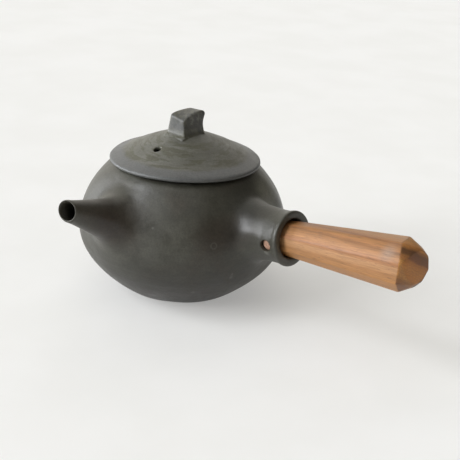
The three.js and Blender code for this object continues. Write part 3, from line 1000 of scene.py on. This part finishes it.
def in_millimetres(tree, **settings):
    """Object coordinates in millimetres, turned and moved as the settings say."""
    place = add_node(tree, "TexCoord", output="Object")
    inputs = {"Vector": place, "Scale": (1 / MM, 1 / MM, 1 / MM), **settings}
    return add_node(tree, "Mapping", inputs)


def grain(tree, place, pattern, pace=(1, 1, 1)):
    """Soft noise about 0.5, from (size in millimetres, detail, roughness) and its pace each way."""
    size, detail, rough = pattern
    paced = add_node(tree, "VectorMath", (place, [p / size for p in pace]), **TIMES)
    inputs = {"Vector": paced, "Scale": 1, "Detail": detail, "Roughness": rough}
    return add_node(tree, "TexNoise", inputs)


def spot(tree, place, middle, full, end, share=1):
    """A share within the full radius round a place in millimetres, which fades to 0 at the end."""
    gap = add_node(tree, "VectorMath", (place, middle), "Value", operation="DISTANCE")
    return add_node(tree, "MapRange", (gap, full, end, share, 0), **SMOOTH)


def painted(tree, colour, *layers):
    """The colour with layers of (share, colour) laid over it."""
    for share, code in layers:
        inputs = {0: share, 6: colour, 7: srgb(code)}
        colour = add_node(tree, "Mix", inputs, 2, data_type="RGBA")
    return colour


def patched(tree, place, colour, patches):
    """The colour with soft round patches laid over it."""
    for middle, full, end, share, code in patches:
        colour = painted(tree, colour, (spot(tree, place, middle, full, end, share), code))
    return colour


def toned(tree, colour, *layers):
    """The colour darkened and lightened by layers of (value, low, high, tone there, tone here)."""
    for layer in layers:
        tone = add_node(tree, "MapRange", layer, **SMOOTH)
        inputs = {0: colour, "Scale": tone}
        colour = add_node(tree, "VectorMath", inputs, operation="SCALE")
    return colour


def dress(tree, shader, colour, rough, relief):
    """Gives a shader its colour, roughness, and relief of (height, depth in millimetres)."""
    feed(tree, shader.inputs["Base Color"], colour)
    feed(tree, shader.inputs["Roughness"], rough)
    for height, depth in relief:
        inputs = {"Height": height, "Strength": 1, "Distance": depth * MM}
        if shader.inputs["Normal"].is_linked:
            inputs["Normal"] = shader.inputs["Normal"].links[0].from_socket
        feed(tree, shader.inputs["Normal"], add_node(tree, "Bump", inputs))


def start_stoneware(name, colours, on_lid):
    """Burnished dark clay: smoke-grey clouds, brown patches, fine grit, faint throwing lines."""
    material, tree, shader = new_material(name)
    place = in_millimetres(tree)
    x, y, across = add_node(tree, "SeparateXYZ", (place,)).node.outputs
    if on_lid:
        flat = add_node(tree, "CombineXYZ", (x, y))
        across = add_node(tree, "VectorMath", (flat,), "Value", operation="LENGTH")

    # Throwing lines run round the pot: they change quickly with height, or on the lid with radius
    thrown = add_node(tree, "CombineXYZ", (x, y, across))
    clay, brown, pale = colours
    clouds = grain(tree, place, CLOUDS)
    cloudy = add_node(tree, "MapRange", (clouds, 0.35, 0.68), **SMOOTH)
    browned = grain(tree, place, BROWNING)
    browned = add_node(tree, "MapRange", (browned, 0.48, 0.72, 0, 0.5), **SMOOTH)
    return SimpleNamespace(
        material=material,
        tree=tree,
        shader=shader,
        place=place,
        across=across,
        thrown=thrown,
        clouds=clouds,
        lines=grain(tree, thrown, THROWING_LINES, THROWN_PACE),
        ridges=grain(tree, thrown, THROWING_RIDGES, THROWN_PACE),
        grit=grain(tree, place, GRIT),
        mottle=grain(tree, place, MOTTLE),
        colour=painted(tree, srgb(clay), (cloudy, pale), (browned, brown)),
    )


def make_body_clay():
    """Dark burnished stoneware: deep grey, browner beside the spout, with a few kiln marks.
    It has painted shade round the roots of the spout and the socket and towards the foot, painted
    highlights on the shoulder beside the socket and at the peg hole, and painted light inside the
    spout's mouth.
    """
    clay = start_stoneware("dark_stoneware", BODY_COLOURS, False)
    tree = clay.tree
    # Brown patches, with painted shade and painted highlights round the spout and the socket
    colour = patched(tree, clay.place, clay.colour, BODY_PATCHES_AND_PAINTED_LIGHT)
    # Paler low on the front of the foot
    low = add_node(tree, "MapRange", (clay.across, 10, 15, 0.7, 0), **SMOOTH)
    worn = add_node(tree, "Math", (low, spot(tree, clay.place, *PALE_FOOT_PATCH)), **TIMES)
    # Kiln marks, with painted light at the peg hole's lower rim and inside the spout's mouth
    colour = patched(tree, clay.place, painted(tree, colour, (worn, "#4a433c")), KILN_MARKS_AND_PAINTED_LIGHT)
    gap = add_node(tree, "VectorMath", (clay.place, RING_MARK), "Value", operation="DISTANCE")
    off = add_node(tree, "Math", (gap, RING_MARK_RADIUS), operation="SUBTRACT")
    off = add_node(tree, "Math", (off,), operation="ABSOLUTE")
    ring = add_node(tree, "MapRange", (off, 0.1, 0.6, 0.16, 0), **SMOOTH)
    colour = toned(
        tree,
        painted(tree, colour, (ring, "#77746d")),
        (clay.grit, 0.3, 0.7, 0.84, 1.14),
        (clay.mottle, 0.3, 0.7, 0.88, 1.12),
        (clay.lines, 0.3, 0.7, 0.97, 1.03),
        # Painted shade: the colour darkens towards the foot, to 0.42 of itself at 4 mm up
        (clay.across, 4, 46, 0.42, 1),
    )
    smoky = add_node(tree, "MapRange", (clay.clouds, 0.3, 0.7, 0.36, 0.48), **SMOOTH)
    uneven = add_node(tree, "MapRange", (clay.mottle, 0.3, 0.7, -0.04, 0.04), **SMOOTH)
    rough = add_node(tree, "Math", (smoky, uneven), **PLUS)
    relief = ((clay.ridges, 0.25), (clay.lines, 0.06), (clay.mottle, 0.12), (clay.grit, 0.05))
    dress(tree, clay.shader, colour, rough, relief)
    return clay.material


def make_lid_clay():
    """The same clay, paler and drier on the lid, with a smoother blue-grey band at its rim, and
    painted light and painted shade on the knob's faces towards the handle and the spout.
    """
    clay = start_stoneware("dry_stoneware", LID_COLOURS, True)
    tree = clay.tree
    smears = grain(tree, clay.thrown, SMEARS, SMEARS_PACE)
    uneven = add_node(tree, "Math", (clay.mottle, 4), **TIMES)
    radius = add_node(tree, "Math", (clay.across, uneven), **PLUS)
    rim = add_node(tree, "MapRange", (radius, 31.5, 34.5), **SMOOTH)
    colour = painted(
        tree,
        clay.colour,
        (add_node(tree, "MapRange", (clay.lines, 0.42, 0.62, 0, 0.25), **SMOOTH), "#454338"),
        (add_node(tree, "MapRange", (smears, 0.48, 0.58, 0, 0.75), **SMOOTH), "#434232"),
        (rim, "#545554"),
    )
    # Painted light on the knob's face towards the handle, and painted shade on its face towards the
    # spout
    colour = patched(tree, clay.place, colour, KNOB_PAINTED_LIGHT_AND_SHADE)
    blotches = grain(tree, clay.place, BLOTCHES)
    blotches = add_node(tree, "MapRange", (blotches, 0.42, 0.56, 0, 0.6), **SMOOTH)
    handled = add_node(tree, "Math", (spot(tree, clay.place, *KNOB_WEAR), blotches), **TIMES)
    colour = toned(
        tree,
        painted(tree, colour, (handled, "#3a3b3b")),
        (clay.grit, 0.3, 0.7, 0.86, 1.12),
        (clay.mottle, 0.3, 0.7, 0.9, 1.1),
    )
    dry = add_node(tree, "MapRange", (clay.mottle, 0.3, 0.7, 0.42, 0.54), **SMOOTH)
    rough = add_node(tree, "Math", (rim, -0.02, dry), operation="MULTIPLY_ADD")
    relief = ((clay.ridges, 0.2), (clay.lines, 0.12), (clay.mottle, 0.15), (clay.grit, 0.06))
    dress(tree, clay.shader, colour, rough, relief)
    return clay.material


def banded(tree, depth, bands):
    """A colour for each depth across the growth rings, from bands of (millimetres, colour)."""
    low, high = bands[0][0], bands[-1][0]
    share = add_node(tree, "MapRange", (depth, low, high))
    shade = add_node(tree, "ValToRGB", (share,))
    stops = shade.node.color_ramp.elements
    # Every stop is placed before any is coloured, in case placing changes their order
    while len(stops) < len(bands):
        stops.new(0.5)
    for stop, (place, _) in zip(stops, bands):
        stop.position = (place - low) / (high - low)
    for stop, (_, code) in zip(stops, bands):
        stop.color = srgb(code)
    return shade


def make_wood():
    """Oiled straight-grained wood: tan, pink and golden bands, fine fibres, dark heartwood, and
    painted shade on the lower bevels of its end.
    """
    material, tree, shader = new_material("oiled_wood")
    rise = math.radians(HANDLE_RISE)
    drop = HANDLE_BASE_HEIGHT
    place = in_millimetres(
        tree, Rotation=(0, rise, 0), Location=(-drop * math.sin(rise), 0, -drop * math.cos(rise)),
    )
    normal = add_node(tree, "TexCoord", output="Normal")
    along = (math.cos(rise), 0, math.sin(rise))
    facing = add_node(tree, "VectorMath", (normal, along), "Value", operation="DOT_PRODUCT")

    # Depth across the growth rings, with the grain wandering slowly along the handle
    lean = add_node(tree, "VectorMath", (place, GRAIN_LEAN), "Value", operation="DOT_PRODUCT")
    wander = grain(tree, place, WANDER, WANDER_PACE)
    wander = add_node(tree, "MapRange", (wander, 0.2, 0.8, -0.4, 0.4), **SMOOTH)
    from_end = add_node(tree, "Math", (lean, -GRAIN_LEAN[0] * HANDLE_END), **PLUS)
    depth = add_node(tree, "Math", (from_end, wander), **PLUS)

    # The carved end shows the rings from another side than the stick does
    on_end = add_node(tree, "MapRange", (facing, 0.3, 0.5), **SMOOTH)
    on_middle = add_node(tree, "MapRange", (facing, 0.93, 0.98), **SMOOTH)
    bevels, middle, sides = (banded(tree, depth, b) for b in (BEVEL_BANDS, END_BANDS, SIDE_BANDS))
    end = add_node(tree, "Mix", {0: on_middle, 6: bevels, 7: middle}, 2, data_type="RGBA")
    colour = add_node(tree, "Mix", {0: on_end, 6: sides, 7: end}, 2, data_type="RGBA")
    # Painted shade on the lower bevels of the end, and a pale grey patch on the near side
    colour = patched(tree, place, colour, WOOD_PATCHES_AND_PAINTED_SHADE)

    rings = grain(tree, add_node(tree, "CombineXYZ", (depth,)), YEAR_RINGS)
    fibres = grain(tree, place, FIBRES, FIBRES_PACE)
    pores = grain(tree, place, PORES, FIBRES_PACE)
    pores = add_node(tree, "MapRange", (pores, 0.6, 0.68, 0, 0.5), **SMOOTH)
    colour = toned(
        tree,
        painted(tree, colour, (pores, "#5d4130")),
        (fibres, 0.3, 0.7, 0.83, 1.15),
        (rings, 0.35, 0.65, 0.93, 1.07),
        (grain(tree, place, SHADES, WANDER_PACE), 0.3, 0.7, 0.93, 1.07),
    )
    rough = add_node(tree, "MapRange", (fibres, 0.3, 0.7, 0.42, 0.58), **SMOOTH)
    dress(tree, shader, colour, rough, ((fibres, 0.05), (pores, 0.04)))
    return material


def make_dowel_wood():
    """Bare pinkish wood of the dowel's sawn end, with fine rings."""
    material, tree, shader = new_material("bare_wood")
    rings = grain(tree, in_millimetres(tree), DOWEL_RINGS, DOWEL_PACE)
    pale = add_node(tree, "MapRange", (rings, 0.3, 0.7), **SMOOTH)
    colour = painted(tree, srgb("#8d6a57"), (pale, "#b08c76"))
    dress(tree, shader, colour, 0.7, ((rings, 0.05),))
    return material


def make_floor_paint():
    """Smooth pale plaster. Seen directly or mirrored it is lifted, as in a bright picture."""
    material, tree, shader = new_material("pale_plaster")
    clouds = grain(tree, in_millimetres(tree), PLASTER_CLOUDS)
    cloudy = add_node(tree, "MapRange", (clouds, 0.3, 0.7), **SMOOTH)
    dress(tree, shader, painted(tree, srgb("#e6e6e3"), (cloudy, "#ebebe9")), 0.7, ())
    ray = add_node(tree, "LightPath").node.outputs
    mirrored = add_node(tree, "Math", (ray["Is Glossy Ray"], ray["Is Transmission Ray"]), **PLUS)
    seen = add_node(tree, "Math", (ray["Is Camera Ray"], mirrored), **PLUS)
    share = add_node(tree, "Math", (seen, FLOOR_LIFT), **TIMES)
    glow = add_node(tree, "Emission", (FLOOR_GLOW, 1))
    both = add_node(tree, "MixShader", (share, shader.outputs[0], glow))
    feed(tree, tree.nodes["Material Output"].inputs["Surface"], both)
    return material


def make_floor():
    """The floor, which isn't part of the teapot."""
    bm = bmesh.new()
    bmesh.ops.create_circle(bm, cap_ends=True, segments=FLOOR_SIDES, radius=FLOOR_RADIUS * MM)
    mesh = bpy.data.meshes.new("floor")
    bm.to_mesh(mesh)
    bm.free()
    mesh.materials.append(make_floor_paint())
    floor = add_object("floor", mesh)


def make_camera():
    """The camera, tilted by its roll, at its distance from the point that it looks at."""
    turn, lift, roll = (math.radians(v) for v in (VIEW_AZIMUTH, VIEW_ELEVATION, VIEW_ROLL))
    right = Vector((math.cos(turn), math.sin(turn), 0))
    level = math.cos(lift)
    back = Vector((math.sin(turn) * level, -math.cos(turn) * level, math.sin(lift)))
    up = back.cross(right)
    tilted_right = right * math.cos(roll) + up * math.sin(roll)
    tilted_up = up * math.cos(roll) - right * math.sin(roll)
    stand = Matrix((tilted_right, tilted_up, back)).transposed().to_4x4()
    aim = right * VIEW_SIDE_SHIFT + Vector((0, 0, VIEW_AIM_HEIGHT))
    stand.translation = (aim + back * VIEW_DISTANCE) * MM
    lens = bpy.data.cameras.new("camera")
    lens.lens = LENS_MM
    lens.sensor_width = SENSOR_MM
    lens.clip_start = VIEW_NEAREST * MM
    camera = add_object("camera", lens)
    camera.matrix_world = stand
    bpy.context.scene.camera = camera


def make_light():
    """The room's dim even light, and its windows and walls as wide lamps."""
    room = bpy.data.worlds.new("room")
    bpy.context.scene.world = room
    room.use_nodes = True
    background = room.node_tree.nodes["Background"]
    background.inputs["Color"].default_value = ROOM_COLOUR
    background.inputs["Strength"].default_value = ROOM_LEVEL
    for name, azimuth, elevation, width, share, tint in LAMPS:
        side, height = math.radians(azimuth), math.radians(elevation)
        level = math.cos(height)
        towards = Vector((math.cos(side) * level, math.sin(side) * level, math.sin(height)))
        glow = bpy.data.lights.new(name, "SUN")
        glow.angle = math.radians(width)
        glow.energy = math.pi * share
        glow.color = tint
        add_object(name, glow).rotation_euler = towards.to_track_quat("Z", "Y").to_euler()


dark_clay = make_body_clay()
dry_clay = make_lid_clay()
for piece, material in (
    (make_pot_skin(), dark_clay),
    (make_lid(), dry_clay),
    (make_knob(), dry_clay),
    (make_handle(), make_wood()),
    (make_peg(), make_dowel_wood()),
):
    piece.data.materials.append(material)

strainer = bpy.data.objects["tea_strainer"]
strainer.data.materials.clear()
strainer.data.materials.append(dark_clay)

make_floor()
make_camera()
make_light()
bpy.context.scene.view_settings.view_transform = "Standard"
